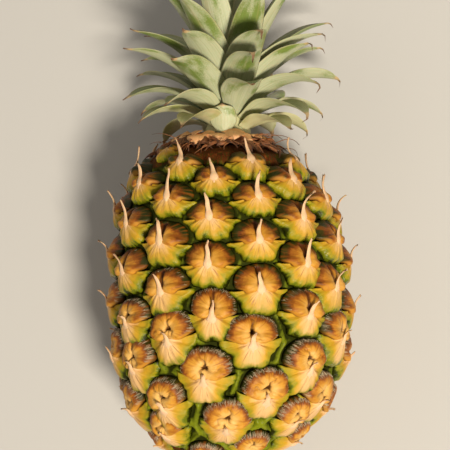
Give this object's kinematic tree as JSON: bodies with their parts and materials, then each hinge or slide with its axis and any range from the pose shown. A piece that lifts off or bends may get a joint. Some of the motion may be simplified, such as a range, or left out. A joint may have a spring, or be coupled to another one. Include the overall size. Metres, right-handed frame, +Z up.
{
  "type": "pineapple",
  "caption": "Whole ripe pineapple lying on its side, with spiral rows of raised eyes, bracts and dry spines, a leafy green crown, a dry collar and a cut stalk.",
  "frame": {"origin": "on the resting surface, under the middle of the bounding box, with the fruit lying on its side", "axes": "+Z up from the resting surface, +Y along the fruit's axis from the stalk towards the crown, +X to the right seen from above with the crown up"},
  "size_m": [0.1208, 0.2624, 0.1184],
  "materials": {
    "rind": "waxy, half-gloss ripe rind: golden orange eyes, yellow bracts with green edges and dark green valleys",
    "leaf": "matt green leaves with a pale bloom, fine lengthwise ribs and dry brown tips",
    "dry_leaf": "dry, papery, tan to dark brown",
    "stalk": "dry fibrous cut stalk"
  },
  "bodies": {
    "root": {"fruit": "rind", "crown_leaves": "leaf", "dry_collar": "dry_leaf", "cut_stalk": "stalk"}
  },
  "joints": []
}
